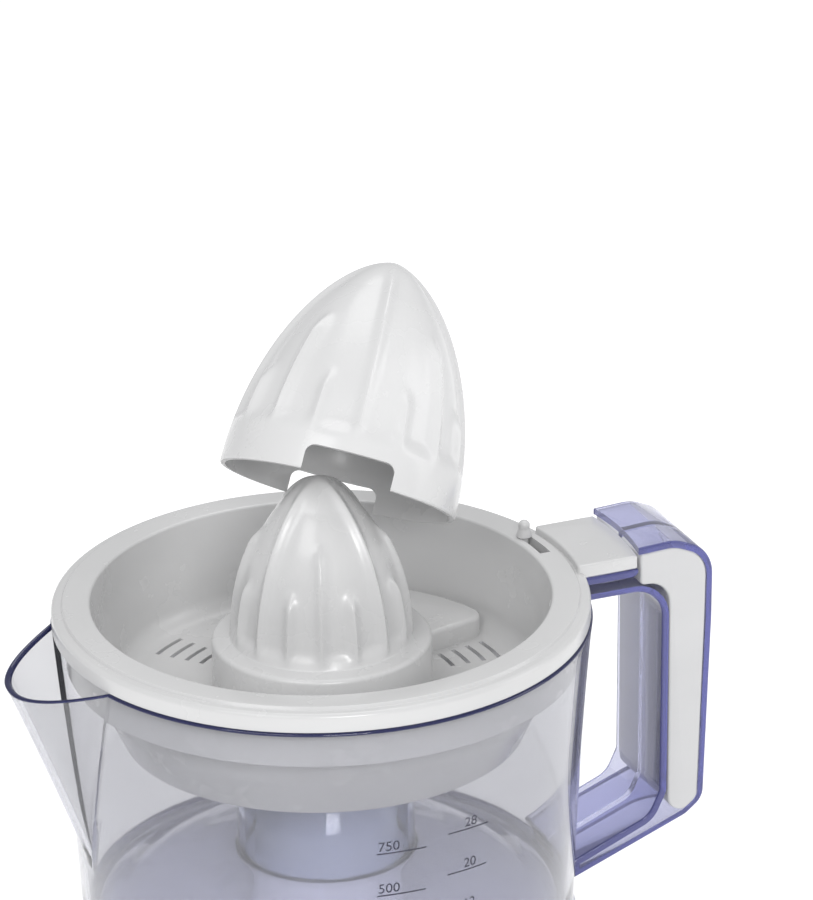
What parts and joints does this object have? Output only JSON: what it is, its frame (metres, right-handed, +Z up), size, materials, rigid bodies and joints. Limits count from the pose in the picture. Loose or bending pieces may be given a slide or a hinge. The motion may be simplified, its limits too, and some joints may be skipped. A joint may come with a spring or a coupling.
{
  "type": "citrus press juicer",
  "caption": "Electric citrus press: clear jug with spout and handle, strainer, small reamer cone and a larger cone lifted off it, on a motor base.",
  "frame": {"origin": "on the drive axis, in the plane that the feet rest on", "axes": "+Z up along the drive axis, +X towards the handle, the spout points to -X"},
  "size_m": [0.2293, 0.1692, 0.2635],
  "materials": {
    "white_plastic": "gloss",
    "clear_plastic": "clear, tinted pale violet-blue",
    "handle_plastic": "satin",
    "rubber": "matt",
    "steel": "turned",
    "zinc_plate": "zinc plated",
    "copper_winding": "enamelled wire",
    "ferrite": "sintered",
    "gear_plastic": "natural acetal",
    "bronze": "sintered bronze",
    "dark_plastic": "matt"
  },
  "bodies": {
    "base": {"base_housing": "white_plastic", "base_tower": "white_plastic", "base_plate": "white_plastic", "rubber_feet": "rubber", "base_screws": "steel", "gear_frame_screws": "steel", "gear_frame": "zinc_plate", "motor_can": "zinc_plate", "stator_coil": "copper_winding", "lower_bush": "bronze", "upper_bush": "bronze", "shaft_seal": "rubber", "gear_axle": "steel", "switch_body": "dark_plastic", "terminal_block": "white_plastic", "cord_gland": "dark_plastic", "return_spring": "steel"},
    "output": {"output_gear": "gear_plastic"},
    "shaft": {"drive_shaft": "steel", "retaining_ring": "steel"},
    "intermediate": {"intermediate_gear": "gear_plastic"},
    "rotor": {"rotor_magnet": "ferrite", "rotor_shaft": "steel", "motor_pinion": "bronze"},
    "plunger": {"switch_plunger": "gear_plastic"},
    "jug": {"jug_vessel": "clear_plastic", "jug_column": "clear_plastic", "jug_handle": "clear_plastic", "handle_insert_left": "handle_plastic", "handle_insert_right": "handle_plastic"},
    "strainer": {"strainer_bowl": "white_plastic"},
    "pulp_control": {"pulp_control_ring": "white_plastic", "pulp_control_knob": "white_plastic"},
    "hub": {"drive_hub": "gear_plastic"},
    "small_cone": {"small_cone": "white_plastic"},
    "large_cone": {"large_cone": "white_plastic"}
  },
  "joints": [
    {"name": "jug_lift", "type": "slide", "parent": "base", "child": "jug", "axis": [0, 0, 1], "range_m": [0, 0.13]},
    {"name": "strainer_lift", "type": "slide", "parent": "jug", "child": "strainer", "axis": [0, 0, 1], "range_m": [0, 0.06]},
    {"name": "pulp_turn", "type": "hinge", "parent": "strainer", "child": "pulp_control", "pos_m": [0, 0, 0.132], "axis": [0, 0, 1], "range_deg": [-9, 0]},
    {"name": "cone_spin", "type": "hinge", "parent": "strainer", "child": "hub", "pos_m": [0, 0, 0.152], "axis": [0, 0, 1], "continuous": true},
    {"name": "small_cone_lift", "type": "slide", "parent": "hub", "child": "small_cone", "axis": [0, 0, 1], "range_m": [-0.0025, 0.045]},
    {"name": "large_cone_lift", "type": "hinge", "parent": "small_cone", "child": "large_cone", "pos_m": [0.06475, 0.05649, 0.15512], "axis": [-0.6574, 0.7536, 0], "range_deg": [-34.2, 0]},
    {"name": "output_turn", "type": "hinge", "parent": "base", "child": "output", "pos_m": [0, 0, 0.04], "axis": [0, 0, 1], "continuous": true},
    {"name": "intermediate_turn", "type": "hinge", "parent": "base", "child": "intermediate", "pos_m": [0.01649, 0.02639, 0.04], "axis": [0, 0, 1], "continuous": true},
    {"name": "rotor_turn", "type": "hinge", "parent": "base", "child": "rotor", "pos_m": [0.0363, 0.0229, 0.04], "axis": [0, 0, 1], "continuous": true},
    {"name": "shaft_press", "type": "slide", "parent": "output", "child": "shaft", "axis": [0, 0, 1], "range_m": [-0.0025, 0], "stiffness_N_per_m": 800, "springref_m": 0.001, "deforming": ["return_spring"]},
    {"name": "plunger_press", "type": "slide", "parent": "base", "child": "plunger", "axis": [0, 0, 1], "range_m": [-0.0025, 0]}
  ],
  "couplings": [
    {"joint": "output_turn", "follows": "cone_spin", "ratio": 1},
    {"joint": "intermediate_turn", "follows": "cone_spin", "ratio": -4.1667},
    {"joint": "rotor_turn", "follows": "cone_spin", "ratio": 16.667},
    {"joint": "plunger_press", "follows": "shaft_press", "ratio": 1}
  ]
}
